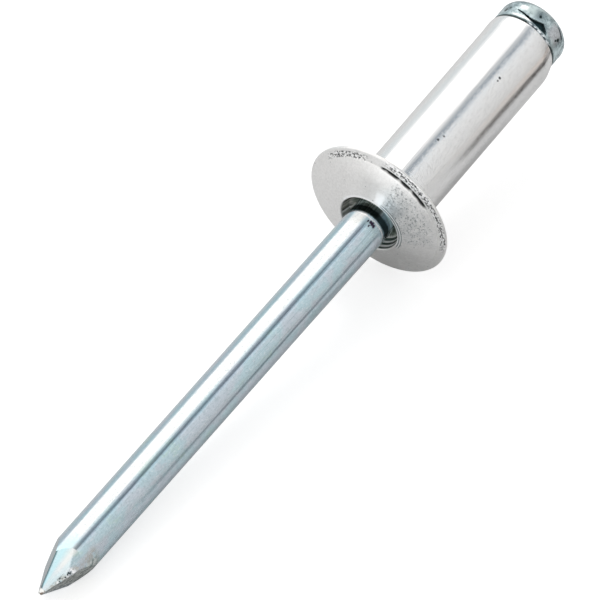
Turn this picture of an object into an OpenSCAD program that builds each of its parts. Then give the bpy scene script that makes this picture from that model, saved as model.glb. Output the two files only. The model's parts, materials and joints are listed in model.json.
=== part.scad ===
// Open-end blind rivet with a domed flange, as supplied and not yet set.
// Sizes in millimetres. The rivet lies on a flat surface, touching it with
// the flange's rim and with the mandrel's wire behind the point.
// Each piece is drawn upright first: Z is the rivet's axis, Z = 0 is the
// flange's bearing face, +Z leads to the mandrel's head and -Z to its tip.

/* [Rivet body] */
// Outside diameter of the shank
body_d = 4.0; // [3.2:0.1:4.8]
// Length of the shank, from the bearing face to its end
body_len = 13; // [8:0.1:25]
// Length of the end of the shank that is crimped onto the mandrel
crimp_len = 1.0; // [0.6:0.05:2]
// How far the crimp draws in the outside of the shank at its end
crimp_drop = 0.12; // [0.05:0.01:0.2]
// Round of the shank's end
end_round = 0.18; // [0.1:0.01:0.25]
// Fillet between the shank and the bearing face
shank_fillet = 0.1; // [0.05:0.01:0.3]

/* [Flange] */
// Diameter of the flange
flange_d = 8.08; // [7:0.02:9.5]
// Radius of the rim's round edge
rim_round = 0.1; // [0.06:0.01:0.2]
// Width of the rim outside the dome
rim_w = 0.44; // [0.3:0.01:0.6]
// Slope of the rim between its round edge and the dome
rim_slope = 24; // [16:1:40]
// Small step down from the dome's edge to the rim, left by the forming die
die_step = 0.02; // [0.01:0.01:0.05]
// Rise of the dome from its edge to where its crown would be without the hole
dome_rise = 1; // [0.5:0.02:1.2]

/* [Hole for the mandrel] */
// Diameter of the hole's mouth in the dome
mouth_d = 3.3; // [3:0.05:3.6]
// Round of the mouth's edge
mouth_round = 0.12; // [0.05:0.01:0.2]
// Depth of the wide mouth, measured along the axis from its edge
mouth_depth = 0.6; // [0.3:0.05:0.9]
// How much the mouth narrows over its depth, on the radius
mouth_taper = 0.12; // [0.05:0.01:0.2]
// Length of the cone between the mouth and the bore
throat_len = 0.45; // [0.2:0.05:1]
// Gap round the mandrel in the bore
bore_gap = 0.06; // [0.03:0.01:0.1]

/* [Mandrel] */
// Diameter of the mandrel's wire
mandrel_d = 2.3; // [1.9:0.05:2.6]
// Length of the mandrel from the bearing face to the end of its point
mandrel_out = 30.3; // [25:0.1:40]
// Half angle of the pair of flats that gives the point its width
flat_angle = 18.5; // [15:0.5:24]
// Half angle of the other pair of flats
cross_angle = 22.5; // [16:0.5:26]
// Width of the blunt square at the end of the point
point_end = 0.18; // [0.1:0.02:0.3]
// Turn of the flats about the wire
point_turn = 26; // [0:1:90]

/* [Mandrel head] */
// Diameter of the mandrel's head
head_d = 3.74; // [3.2:0.02:3.8]
// Height of the head above the shank's end
head_h = 1.82; // [1.7:0.02:2.1]
// Height of the head's side, up to where its round starts
head_side = 0.92; // [0.6:0.02:1]
// Round between the head's side and its crown
head_round = 0.54; // [0.4:0.01:0.6]
// Round of the head's lower edge, next to the shank's end
head_edge = 0.12; // [0.05:0.01:0.2]
// Distance of the break notch from the shank's end
notch_in = 2.2; // [1.5:0.1:4]
// Depth of the break notch
notch_depth = 0.28; // [0.15:0.01:0.4]
// Half of the break notch's width
notch_half_w = 0.3; // [0.2:0.01:0.5]

/* [Hidden] */
$fn = 96;
// How far a cut or a limit runs past the surface that it cuts
over = 1;
// Turn of the body about its axis, which puts its seam on top, away from the surface
seam_turn = 180;
body_r = body_d / 2;
flange_r = flange_d / 2;
wire_r = mandrel_d / 2;
bore_r = wire_r + bore_gap;
mouth_r = mouth_d / 2;
head_r = head_d / 2;

// The crimp is an arc that starts along the shank's side
crimp_from = body_len - crimp_len;
crimp_arc = (crimp_len * crimp_len + crimp_drop * crimp_drop) / (2 * crimp_drop);
crimp_arc_in = body_r - crimp_arc;
end_from = body_len - end_round;
end_in = crimp_arc_in + sqrt(pow(crimp_arc - end_round, 2) - pow(end_from - crimp_from, 2));
past_arc = (crimp_arc + over) / (crimp_arc - end_round);

// The dome is part of a sphere. Heights on the flange count from the bearing face
dome_r = flange_r - rim_w;
rim_in = flange_r - rim_round;
slope_from_r = rim_in + rim_round * sin(rim_slope);
slope_from_h = rim_round + rim_round * cos(rim_slope);
slope_to_h = slope_from_h + (slope_from_r - dome_r) * tan(rim_slope);
dome_edge_h = slope_to_h + die_step;
dome_sphere = (dome_r * dome_r + dome_rise * dome_rise) / (2 * dome_rise);
dome_centre_h = dome_edge_h + dome_rise - dome_sphere;
mouth_h = dome_centre_h + sqrt(dome_sphere * dome_sphere - mouth_r * mouth_r);
mouth_floor_h = mouth_h - mouth_depth;
mouth_floor_r = mouth_r - mouth_taper;

// The head's crown is an arc that runs into the round at the head's side
head_top = body_len + head_h;
crown_from = body_len + head_side;
crown_rise = head_h - head_side - head_round;
crown_in = head_r - head_round;
crown_centre = crown_from + (crown_rise - crown_in * crown_in / crown_rise) / 2;
crown_r = head_top - crown_centre;

// Lying on the surface: the rim's round edge touches it, and so does the wire's underside
// where the first flat of the point cuts it short
point_half = point_end / 2;
cross_cut = (wire_r * cos(point_turn) - point_half) / tan(cross_angle);
flat_cut = (wire_r * sin(point_turn) - point_half) / tan(flat_angle);
wire_end = mandrel_out - max(cross_cut, flat_cut);
rim_reach = wire_end - rim_round;
rim_rise = rim_in - wire_r;
lie_angle = atan2(rim_rise, rim_reach) + asin(rim_round / norm([rim_rise, rim_reach]));
lie_z = wire_end * sin(lie_angle) + wire_r * cos(lie_angle);
tip_x = -mandrel_out * cos(lie_angle) - point_half * sin(lie_angle);
head_x = crown_centre * cos(lie_angle) + crown_r;
lie_x = -(tip_x + head_x) / 2;

// Puts an upright piece down on the surface, with the middle of the rivet over the origin
module lie_down() {
    translate([lie_x, 0, lie_z])
        rotate([0, 90 - lie_angle, 0])
            children();
}

// Shank with its crimped and rounded end, as a section beside the axis
module shank_section() {
    square([body_r, crimp_from]);
    intersection() {
        translate([crimp_arc_in, crimp_from])
            circle(crimp_arc, $fn = 360);
        polygon([
            [0, crimp_from],
            [body_r + over, crimp_from],
            [
                crimp_arc_in + past_arc * (end_in - crimp_arc_in),
                crimp_from + past_arc * (end_from - crimp_from)
            ],
            [end_in, end_from],
            [0, end_from]
        ]);
    }
    translate([end_in, end_from])
        circle(end_round);
    translate([0, end_from])
        square([end_in, end_round]);
}

// Fillet in the corner between shank and bearing face
module fillet_section() {
    difference() {
        translate([body_r - shank_fillet, 0])
            square([2 * shank_fillet, shank_fillet]);
        translate([body_r + shank_fillet, shank_fillet])
            circle(shank_fillet);
    }
}

// Flange with its round rim, die step and dome; its height runs up from the bearing face
module flange_section() {
    square([rim_in, rim_round]);
    translate([rim_in, rim_round])
        circle(rim_round);
    polygon([
        [0, rim_round],
        [rim_in, rim_round],
        [slope_from_r, slope_from_h],
        [dome_r, slope_to_h],
        [0, slope_to_h]
    ]);
    intersection() {
        translate([0, dome_centre_h])
            circle(dome_sphere, $fn = 720);
        translate([0, rim_round])
            square([dome_r, dome_edge_h + dome_rise]);
    }
}

// What the hole takes out: mouth, throat, bore and the bore's end drawn in by the crimp
module hole_section() {
    mirror([0, 1])
        polygon([
            [0, mouth_h + over],
            [mouth_r, mouth_h + over],
            [mouth_r, mouth_h - mouth_round],
            [mouth_floor_r, mouth_floor_h],
            [bore_r, mouth_floor_h - throat_len],
            [bore_r, -crimp_from],
            [wire_r, -body_len],
            [0, -body_len]
        ]);
    mirror([0, 1])
        difference() {
            translate([0, mouth_h - mouth_round])
                square([mouth_r + mouth_round, mouth_round + over]);
            translate([mouth_r + mouth_round, mouth_h - mouth_round])
                circle(mouth_round);
        }
}

module rivet_body() {
    color([0.80, 0.80, 0.79])
        lie_down()
            rotate([0, 0, seam_turn])
                rotate_extrude()
                    difference() {
                        union() {
                            shank_section();
                            fillet_section();
                            mirror([0, 1])
                                flange_section();
                        }
                        hole_section();
                    }
}

// Head with its rounded lower edge, side, round and crown, as a section beside the axis
module head_section() {
    translate([0, body_len])
        square([head_r - head_edge, head_side]);
    translate([head_r - head_edge, body_len + head_edge])
        circle(head_edge);
    translate([0, body_len + head_edge])
        square([head_r, head_side - head_edge]);
    translate([crown_in, crown_from])
        circle(head_round);
    intersection() {
        translate([0, crown_centre])
            circle(crown_r, $fn = 360);
        polygon([
            [0, crown_from],
            [crown_in, crown_from],
            [2 * crown_in, 2 * crown_from - crown_centre],
            [0, head_top + over]
        ]);
    }
}

// V groove where the mandrel breaks when the rivet is set
module notch_section() {
    translate([wire_r, body_len - notch_in])
        polygon([
            [-notch_depth, 0],
            [over, -notch_half_w * (1 + over / notch_depth)],
            [over, notch_half_w * (1 + over / notch_depth)]
        ]);
}

// What a pair of knives leaves: two flats that meet at the point, and room for the rest
module knife_pair(half_angle) {
    clear = 2 * head_r;
    flat_len = (clear - point_half) / tan(half_angle);
    translate([0, 0, -mandrel_out])
        rotate([90, 0, 0])
            linear_extrude(2 * clear, center = true)
                polygon([
                    [-point_half, 0],
                    [point_half, 0],
                    [clear, flat_len],
                    [clear, mandrel_out + head_top + over],
                    [-clear, mandrel_out + head_top + over],
                    [-clear, flat_len]
                ]);
}

module mandrel() {
    color([0.72, 0.77, 0.80])
        lie_down()
            intersection() {
                rotate_extrude()
                    difference() {
                        union() {
                            translate([0, -mandrel_out])
                                square([wire_r, mandrel_out + body_len]);
                            head_section();
                        }
                        notch_section();
                    }
                rotate([0, 0, point_turn])
                    knife_pair(cross_angle);
                rotate([0, 0, point_turn + 90])
                    knife_pair(flat_angle);
            }
}

rivet_body();
mandrel();
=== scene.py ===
"""A pop rivet as supplied: aluminium body on a zinc-plated steel mandrel, lying on a pale floor.

Sizes are in millimetres and become metres when a mesh is made. Both pieces are drawn in the
rivet's own frame: "along" runs up its axis from the flange's bearing face to the mandrel's head,
and "turn" is the angle about the axis, with 0 facing the camera and 90 on the camera's right.
"""
import bmesh
import bpy
import json
import math
import numpy as np
from collections import namedtuple
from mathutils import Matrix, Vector, noise

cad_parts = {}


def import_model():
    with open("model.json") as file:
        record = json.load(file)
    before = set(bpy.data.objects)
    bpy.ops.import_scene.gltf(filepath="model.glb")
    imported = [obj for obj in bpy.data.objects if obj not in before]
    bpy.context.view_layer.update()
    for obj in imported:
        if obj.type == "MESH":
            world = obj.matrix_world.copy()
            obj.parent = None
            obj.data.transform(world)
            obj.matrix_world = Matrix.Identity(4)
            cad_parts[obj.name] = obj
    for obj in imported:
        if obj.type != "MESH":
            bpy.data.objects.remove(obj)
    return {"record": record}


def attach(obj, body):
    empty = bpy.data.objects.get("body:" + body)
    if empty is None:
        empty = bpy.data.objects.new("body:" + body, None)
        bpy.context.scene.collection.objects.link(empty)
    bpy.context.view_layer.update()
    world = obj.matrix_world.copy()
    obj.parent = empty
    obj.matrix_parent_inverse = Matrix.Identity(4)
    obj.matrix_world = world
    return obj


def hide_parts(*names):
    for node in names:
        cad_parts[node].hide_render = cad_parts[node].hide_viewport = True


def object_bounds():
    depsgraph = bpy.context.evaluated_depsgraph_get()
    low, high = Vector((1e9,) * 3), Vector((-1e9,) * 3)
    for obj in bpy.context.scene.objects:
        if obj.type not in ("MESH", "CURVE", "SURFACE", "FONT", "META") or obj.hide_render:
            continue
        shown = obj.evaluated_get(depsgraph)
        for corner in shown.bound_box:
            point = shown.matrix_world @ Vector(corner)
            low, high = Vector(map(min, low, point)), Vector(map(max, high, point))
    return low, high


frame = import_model()
cad_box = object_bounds()

MM = 0.001

# Rivet body, as in the part's source
BODY_R = 2.0
BODY_LEN = 13.0
CRIMP_LEN = 1.0
CRIMP_DROP = 0.12
END_ROUND = 0.18
SHANK_FILLET = 0.1
FLANGE_R = 4.04
RIM_ROUND = 0.1
RIM_W = 0.44
RIM_SLOPE = math.radians(24)
DIE_STEP = 0.02
DOME_RISE = 1.0
MOUTH_R = 1.65
MOUTH_ROUND = 0.12
MOUTH_DEPTH = 0.6
MOUTH_TAPER = 0.12
THROAT_LEN = 0.45
BORE_GAP = 0.06

# Mandrel, as in the part's source
WIRE_R = 1.15
MANDREL_OUT = 30.3
FLAT_ANGLE = math.radians(18.5)
CROSS_ANGLE = math.radians(22.5)
POINT_HALF = 0.09
POINT_TURN = math.radians(26)
HEAD_R = 1.87
HEAD_H = 1.82
HEAD_SIDE = 0.92
HEAD_ROUND = 0.54
HEAD_EDGE = 0.12
NOTCH_IN = 2.2
NOTCH_DEPTH = 0.28
NOTCH_HALF_W = 0.3

# Camera: the rivet's axis against the line of sight, and its lean in the image
SIGHT_ANGLE = math.radians(56.8)
IMAGE_LEAN = math.radians(41.61)
FIELD = 29.9
LENS = 1400
SENSOR = 36
# Where it starts and stops to see, as shares of its distance
CLIP = (0.1, 10)
# Where the flange's widest circle has its centre in the image, from the middle of the image
FLANGE_RIGHT = 4.0085
FLANGE_UP = 4.480

# The body sits a little askew on the wire, to the camera's left, and head and flange are a little
# off its axis, the flange's rim also a little tilted
ASKEW = math.radians(0.66)
HEAD_OFF = 0.1
FLANGE_OFF = 0.085
RIM_TILT = math.radians(1)
# The wire starts to lean with the body between these two places along it
LEAN_RUN = (-1, 0.5)

# Steps of the meshes: round the body, on each flat and arc of the mandrel's quarter turn, how much
# the flats' steps crowd towards their edges, and from which angle an edge is sharp
BODY_STEPS = 400
FLAT_STEPS = 14
ARC_STEPS = 84
FLAT_CROWD = 1.6
SHARP = math.radians(14)
WELD = 1e-4
TINY = 1e-6
# Steps along the body's section, from the shank's end to the bore
END_STEPS, END_ROUND_STEPS, CRIMP_STEPS, SHANK_STEPS, FILLET_STEPS = 3, 10, 16, 24, 7
FACE_STEPS, RIM_STEPS, SLOPE_STEPS, GROOVE_STEPS, PAST_GROOVE_STEPS = 6, 18, 12, 8, 7
DOME_STEPS, LIP_STEPS, MOUTH_STEPS, THROAT_STEPS, BORE_STEPS = 44, 12, 8, 6, 6
# Steps along the mandrel's section, from the point to the middle of the head
POINT_STEPS, WIRE_STEPS, NOTCH_STEPS, GRIP_STEPS, UNDER_HEAD_STEPS = 165, 40, 3, 4, 4
EDGE_STEPS, SIDE_STEPS, ROUND_STEPS, CROWN_STEPS = 10, 36, 24, 24

# Groove that the forming die left beside the dome: width, place outside the dome's edge, depth,
# how wide its middle is as a share of the width, and where it runs, as low and high turn and the
# softness of its ends in degrees
GROOVE_W = 0.13
GROOVE_OUT = 0.02
GROOVE_DEPTH = 0.1
GROOVE_SPREAD = 0.4
GROOVE_TURNS = (-19, 27, 4)
# Painted shade in the groove: how much, its even part, and how fast it changes with the turn
GROOVE_SHADE_AMOUNT = 3.0
GROOVE_SHADE_EVEN = 0.75
GROOVE_SHADE_RATE = 0.16
# Nicks in the rim: turns and radii of their rows, depth, place and spread as shares of the rim's
# width, and how fast they change with the turn
NICK_TURNS = [(-75, -36, 5), (-16, 72, 8)]
NICK_RADII = [(3.60, 3.88, 0.03), (3.76, 4.0, 0.03)]
NICK_DEPTH = 0.06
NICK_PLACE = 0.45
NICK_SPREAD = 0.25
NICK_RATE = 0.28
NICK_SEED = 3.7
# Lap in the head: turns in degrees, and its place along the axis and half width at each of them
LAP_TURNS = (-43, -17, -4, 6, 14, 21)
LAP_ALONG = (13.52, 13.29, 13.30, 13.34, 13.26, 13.18)
LAP_HALF = (0.02, 0.05, 0.12, 0.19, 0.10, 0.02)
LAP_EDGE = 0.02
LAP_DEPTH = 0.16
# Point: length of its flats, how near to a flat a place counts as on it, the painted shade of the
# flats on its left and right, and the line where the facing flat bends into its painted shade
POINT_LEN = 3.2
FLAT_SKIN = 0.004
LEFT_FLAT_SHADE = 0.45
RIGHT_FLAT_SHADE = 0.25
BEND_FROM = -28.1
BEND_SLOPE = 0.56
# The facing flat's painted shade, the dark painted line at the bend and how far down that runs,
# its painted highlight and how that gains towards the wire, and the painted dark line on its left
# edge
FACE_SHADE = 0.24
FACE_SHADE_RUN = (-0.05, 0.06)
BEND_SHADE_LINE = 0.3
BEND_LINE_WINDOW = (-0.01, 0.01, 0.03)
BEND_LINE_TO = -28.5
FACE_HIGHLIGHT = 0.6
FACE_HIGHLIGHT_RUN = (0.02, -0.06)
FACE_LEVEL = 0.8
FACE_GAIN = 0.45
FACE_GAIN_RUN = (-29.6, -28)
EDGE_LINE = 0.12
EDGE_SHADE = 0.9

# A patch of colour on a surface: its turns in degrees and its span in millimetres, each as low,
# high and soft edge, how strong it is, and its colour. The span counts along the axis on wire and
# head, and on the radius on the flange; a patch without one goes all the way
Patch = namedtuple("Patch", "turns span share colour")
# A coat of colour where a value runs from the first to the second end: how strong, and the colour
Coat = namedtuple("Coat", "run share colour")

WHITE = (1.0, 1.0, 1.0)

# Painted shade in the gap between head and shank, with pale crumbs of metal
JOINT_SHADE = (0.05, 0.07, 0.07)
JOINT_CRUMB_DARK = (0.10, 0.13, 0.15)
JOINT_CRUMB_LIGHT = (0.9, 0.93, 0.95)
JOINT_CRUMB_TURNS = (-14, 36, 4)

# Shank: its two tones, drawn lines, painted shade on the far right, painted reflections of a dark
# slit and of a leaning dark strip with a warm one beside it, the specks, and how far those painted
# reflections lean, in degrees a millimetre
SHANK_COOL = (0.89, 0.895, 0.90)
SHANK_WARM = (0.93, 0.92, 0.91)
SHANK_LINE = Coat((0.62, 0.75), 1.0, (0.80, 0.80, 0.82))
SHANK_RIGHT_SHADE = Coat((52, 72), 0.35, (0.52, 0.52, 0.52))
SHANK_SLIT_REFLECTION = Patch((-8, -3, 4), None, 0.4, (0.50, 0.56, 0.63))
SHANK_DARK_REFLECTION = Patch((41, 47, 3), None, 0.8, (0.22, 0.19, 0.18))
SHANK_WARM_REFLECTION = Patch((34, 40, 3), None, 0.8, (1.0, 0.91, 0.85))
REFLECTION_LEAN = 0.35
SPECK_TONE = (0.05, 0.05, 0.06)
# Edge of a spot and of a round speck, as shares of its radius
SPOT_EDGE = (1.8, 1.1)
SPECK_EDGE = (1.3, 0.7)
# Single specks and spots as turn, place along the axis and radius
SHANK_SPECKS = [(5.1, 9.25, 0.07), (5.7, 9.04, 0.05), (-3.7, 4.02, 0.06), (-0.5, 4.4, 0.05)]

# Dome: its grain, painted soft shades, a darker patch on its right with pits and painted glints,
# and a painted white highlight
DOME_DARK = (0.84, 0.835, 0.825)
DOME_LIGHT = (0.96, 0.955, 0.945)
DOME_CLOUD = Coat((0.5, 0.7), 0.4, (0.94, 0.94, 0.935))
DOME_LOW_RIGHT_SHADE = Patch((85, 170, 20), None, 0.3, (0.40, 0.40, 0.39))
DOME_UPPER_SHADE = Patch((-38, 50, 14), None, 0.26, (0.66, 0.66, 0.65))
DOME_DARKER_PATCH = Patch((-4, 70, 6), (1.6, 3.4, 0.3), 0.35, (0.52, 0.55, 0.56))
DOME_SHADE = Patch((0, 26, 5), (1.6, 2.5, 0.2), 0.42, (0.36, 0.40, 0.42))
DOME_WHITE_HIGHLIGHT = Patch((-17, -5, 2), (1.7, 2.45, 0.12), 1.0, WHITE)
PIT_TONE = (0.24, 0.26, 0.27)
PIT_SHARE = 0.75
GLINT_TONE = (0.97, 0.98, 0.99)
GLINT_SHARE = 0.7
STRAY_SHARE = 0.5
CHIP_TONE = (0.06, 0.065, 0.07)
CHIP_SHARE = 0.95
# Marks of the mesh on the body: painted shade in the groove, and bare metal
BODY_GROOVE_SHADE = (0.04, 0.04, 0.04)
# How far the rim's white chips and the lip's painted white highlights lose the metal's mirror, and
# the radii between which none are
BURR_AND_HIGHLIGHT_SHARE = 0.75
BURR_AND_HIGHLIGHT_FREE = (1.84, 3.5, 0.04)

# Lip of the mouth: a painted white highlight on the left, thin rings painted as reflections on the
# right
LIP_WHITE_HIGHLIGHT = Patch((-85, -5, 4), (1.66, 1.82, 0.03), 1.0, WHITE)
LIP_RING_REFLECTIONS = Patch((-3, 90, 5), (1.68, 1.92, 0.03), 0.8, None)
LIP_RING_DARK = (0.14, 0.18, 0.19)
LIP_RING_RATE = 52.0

# Painted light and shade on the wall and floor of the mouth
WALL_SHADED_STREAKS = (0.22, 0.22, 0.2)
WALL_LIT_STREAKS = (0.95, 0.93, 0.9)
WALL_BEHIND_SHADE = Patch((-70, 8, 12), None, 0.5, (0.10, 0.13, 0.11))
WALL_BESIDE_LIGHT = Patch((14, 80, 8), None, 0.8, (0.86, 0.95, 1.0))
WALL_WHITE_HIGHLIGHT = Patch((-126.5, -122.5, 1.5), None, 1.0, WHITE)
WALL_RING_REFLECTIONS = Patch((88, 150, 8), None, 1.0, None)
WALL_RING_DARK = (0.06, 0.09, 0.08)
WALL_RING_RATE = 25.0
HOLE_FLOOR_DARK_SHADE = (0.05, 0.06, 0.05)
HOLE_FLOOR_LIGHT_SHADE = (0.55, 0.59, 0.54)
HOLE_FLOOR_PALE_LIGHT = Patch((-136, -116, 4), (1.32, 1.5, 0.04), 1.0, (0.97, 0.95, 0.9))

# Wire: its play of colour, fine grain, scores, a neutral tint where the highlight falls, painted
# shade on its left, and painted reflections and dark spots beside the hole
ZINC_BLUE = (0.57, 0.73, 0.79)
ZINC_VIOLET = (0.64, 0.71, 0.78)
ZINC_GREEN = Coat((0.40, 0.30), 1.0, (0.58, 0.75, 0.73))
ZINC_MOTTLE = Coat((0.45, 0.75), 0.35, (0.47, 0.56, 0.60))
GRAIN_DARK = Coat((0.52, 0.68), 0.4, (0.42, 0.50, 0.54))
GRAIN_LIGHT = Coat((0.46, 0.32), 0.4, (0.84, 0.90, 0.92))
WIRE_HIGHLIGHT = Patch((-48, -17, 7), None, 1.0, (0.73, 0.75, 0.75))
WIRE_LEFT_SHADE = Patch((-66, -52, 5), None, 0.35, (0.34, 0.48, 0.54))
WIRE_SCORES = Patch((-14, 90, 6), None, 0.35, (0.30, 0.38, 0.42))
HOLE_UNEVEN = 0.12
HOLE_RING_REFLECTION = (-1.66, -1.58, 0.03)
HOLE_DARK_REFLECTION = (-1.48, -1.10, 0.05)
HOLE_DARK_REFLECTION_SHARE = 0.93
HOLE_DARK_REFLECTION_TONE = (0.06, 0.09, 0.09)
HOLE_INSIDE_REFLECTION = Coat((-1.10, -1.0), 0.6, (0.80, 0.86, 0.86))
HOLE_SPOT_TONE = (0.05, 0.03, 0.06)
HOLE_SPOTS = [
    (-5, -1.82, 0.08), (2, -1.79, 0.12), (8, -1.80, 0.15), (14, -1.84, 0.13), (4, -2.02, 0.08)
]

# Head: clouds, painted shade and light on parts of the crown, a painted dark reflection that falls
# with the turn, and painted white highlights and glints
HEAD_DARK = (0.27, 0.34, 0.36)
HEAD_LIGHT = (0.66, 0.78, 0.80)
CROWN_LEFT_SHADE = Patch((-34, 4, 6), (13.55, 14.3, 0.15), 0.6, (0.30, 0.36, 0.36))
CROWN_MID_SHADE = Patch((-12, 14, 5), (14.05, 14.5, 0.1), 0.45, (0.36, 0.40, 0.40))
CROWN_RIGHT_LIGHT = Patch((18, 44, 6), (13.3, 14.1, 0.15), 0.45, (0.80, 0.76, 0.80))
CROWN_DARK_REFLECTION = Patch((28, 50, 5), (14.33, 14.43, 0.03), 0.9, (0.04, 0.07, 0.09))
CROWN_REFLECTION_FALL = 0.0095
HEAD_WHITE_HIGHLIGHT = Patch((-46, -12, 5), (13.13, 13.24, 0.03), 1.0, WHITE)
HEAD_GLINT = Patch((-42, -30, 4), (13.66, 13.88, 0.08), 1.0, WHITE)
HEAD_SPOT_TONE = (0.03, 0.05, 0.05)
HEAD_SPOTS = [
    (42, 13.66, 0.1), (39, 13.5, 0.07), (-5.2, 13.74, 0.09), (-65, 13.42, 0.12), (-58, 13.55, 0.07)
]
# Marks of the mesh on the mandrel: painted shade in the lap, on the side flats and at dark edges,
# and a painted highlight on the bright flat
MANDREL_SHADE = (0.02, 0.04, 0.045)
MANDREL_HIGHLIGHT = (0.90, 1.0, 1.0)
# The wire is a little duller on its right towards the point
DULL_GAIN = 0.14

# Point: painted shade and highlight tints on its flats, chips along the edge of the facing one, and
# the worn end
POINT_RIGHT_SHADE = Patch((22, 120, 8), (-30.0, -26.9, 0.3), 0.8, (0.52, 0.50, 0.45))
POINT_CYAN_HIGHLIGHT = Patch((-40, -22, 8), (-30.0, -27.5, 0.2), 0.6, (0.56, 0.92, 1.0))
POINT_CREAM_HIGHLIGHT = Patch((-14, 0, 6), (-29.0, -27.4, 0.4), 0.6, (1.0, 0.97, 0.93))
POINT_LOWER_SHADE = Patch((44, 130, 6), (-30.0, -27.0, 0.2), 0.75, None)
LOWER_DARK = (0.22, 0.27, 0.26)
LOWER_LIGHT = (0.78, 0.80, 0.76)
EDGE_CHIPS = Patch((20, 44, 5), (-29.6, -28.5, 0.15), 1.0, (0.06, 0.08, 0.09))
TIP = (-30.08, -30.16)
TIP_BROWN = (0.30, 0.24, 0.2)
TIP_CREAM = (1.0, 1.0, 0.97)

# Studio
FLOOR_TONE = 0.55
FLOOR_LIFT = 0.6
FLOOR_LIFT_MIRRORED = 0.02
FLOOR_HALF = 3000
SKY_LEVEL = 0.9
KEY_FROM = (0.49, 0.39, 0.77)
KEY_AWAY = 400
KEY_SIZE = 160
KEY_WATTS = 0.6
PANEL_STEP = 1.5
# The big panel stands round the rivet and closes behind its head: a grey wall on the left, a soft
# box, a dark slit and a grey wall on the right
FAR_PROFILE = [(-60, 200), (350, 200), (520, 2)]
FAR_STOPS = [
    (-128, (0.70, 0.73, 0.74)),
    (-100, (0.68, 0.73, 0.75)),
    (-93, (1.50, 1.47, 1.45)),
    (-37, (1.48, 1.44, 1.40)),
    (-30, (1.05, 1.05, 1.05)),
    (-22, (0.48, 0.51, 0.54)),
    (-10, (0.15, 0.18, 0.21)),
    (-4, (0.74, 0.80, 0.85)),
    (2, (0.93, 0.96, 0.98)),
    (10, (0.82, 0.83, 0.83)),
    (35, (0.76, 0.76, 0.76)),
    (55, (0.70, 0.70, 0.69)),
    (70, (0.52, 0.48, 0.46)),
]
# Dark strips low on the right, beside the shank and beside the wire
LOW_PROFILE = [(9, 8), (34, 8)]
LOW_STOPS = [
    (68, (0.5, 0.46, 0.43)),
    (76, (0.10, 0.095, 0.095)),
    (82, (0.14, 0.14, 0.14)),
    (88, (0.5, 0.5, 0.5)),
]
WIRE_PROFILE = [(-19, 7), (3, 7)]
WIRE_STOPS = [
    (64, (0.6, 0.6, 0.6)),
    (71, (0.22, 0.23, 0.24)),
    (79, (0.5, 0.5, 0.5)),
]
# A white card beyond the point, seen by the dome
CARD_PROFILE = [(-90, 1), (-90, 70)]
CARD_STOPS = [
    (-90, (1.7, 1.7, 1.7)),
    (90, (1.7, 1.7, 1.7)),
]


def rivet_frame():
    """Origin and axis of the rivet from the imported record, in metres."""
    mounts = {mount["name"]: mount for mount in frame["record"]["mounts"]}
    axis = Vector(mounts["shank"]["axis"]).normalized()
    on_axis = Vector(mounts["shank"]["pos_m"])
    face = Vector(mounts["bearing_face"]["pos_m"])
    return on_axis + axis * (face - on_axis).dot(axis), axis


def camera_axes(axis):
    """Right, up and sight of a level camera that sees the axis under the two angles."""
    across = math.sin(SIGHT_ANGLE) * math.sin(IMAGE_LEAN)
    upward = math.sin(SIGHT_ANGLE) * math.cos(IMAGE_LEAN)
    swing = math.acos(across / math.hypot(axis.x, axis.y)) - math.atan2(axis.y, axis.x)
    right = Vector((math.cos(swing), -math.sin(swing), 0))
    level = Vector((0, 0, 1)).cross(right)
    dip = math.atan2(axis.z, axis.dot(level)) - math.atan2(upward, math.cos(SIGHT_ANGLE))
    sight = level * math.cos(dip) + Vector((0, 0, math.sin(dip)))
    return right, right.cross(sight), sight


ORIGIN, AXIS = rivet_frame()
RIGHT, UP, SIGHT = camera_axes(AXIS)
# Directions of turn 0 and turn 90
NEAR = -(SIGHT - AXIS * SIGHT.dot(AXIS)).normalized()
SIDE = AXIS.cross(NEAR)
# Turn of the first pair of flats from turn 0, from their turn about the wire in the part
FLATS_FROM = POINT_TURN - math.atan2(NEAR.y, NEAR.dot(Vector((AXIS.z, 0, -AXIS.x))))


def smooth(low, high, value):
    """0 below low, 1 above high and a soft step between them."""
    part = np.clip((value - low) / (high - low), 0, 1)
    return part * part * (3 - 2 * part)


def window(value, low, high, edge):
    """1 between low and high, with soft edges."""
    return smooth(low - edge, low + edge, value) * smooth(high + edge, high - edge, value)


def arc(centre, radius, start, end, steps):
    """Points of an arc in (radius, along), its angles in radians from outward towards the head."""
    angles = np.linspace(start, end, steps)
    return [(centre[0] + radius * math.cos(a), centre[1] + radius * math.sin(a)) for a in angles]


def straight(start, end, steps):
    """Points between start and end, without the end."""
    return [
        (start[0] + (end[0] - start[0]) * k / steps, start[1] + (end[1] - start[1]) * k / steps)
        for k in range(steps)
    ]


def set_askew(points, share):
    """Leans points to the camera's left about the flange, the head's end a little further."""
    near, side, along = (points[..., k].copy() for k in range(3))
    on_rim = smooth(BODY_R, BODY_R + 1, np.hypot(near, side)) * (along < SHANK_FILLET)
    off = HEAD_OFF * smooth(BODY_LEN - CRIMP_LEN, BODY_LEN, along) + FLANGE_OFF * on_rim
    points[..., 1] = side - share * (math.tan(ASKEW) * along + off)
    points[..., 2] = along + share * math.tan(ASKEW) * side - math.tan(RIM_TILT) * near * on_rim


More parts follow.
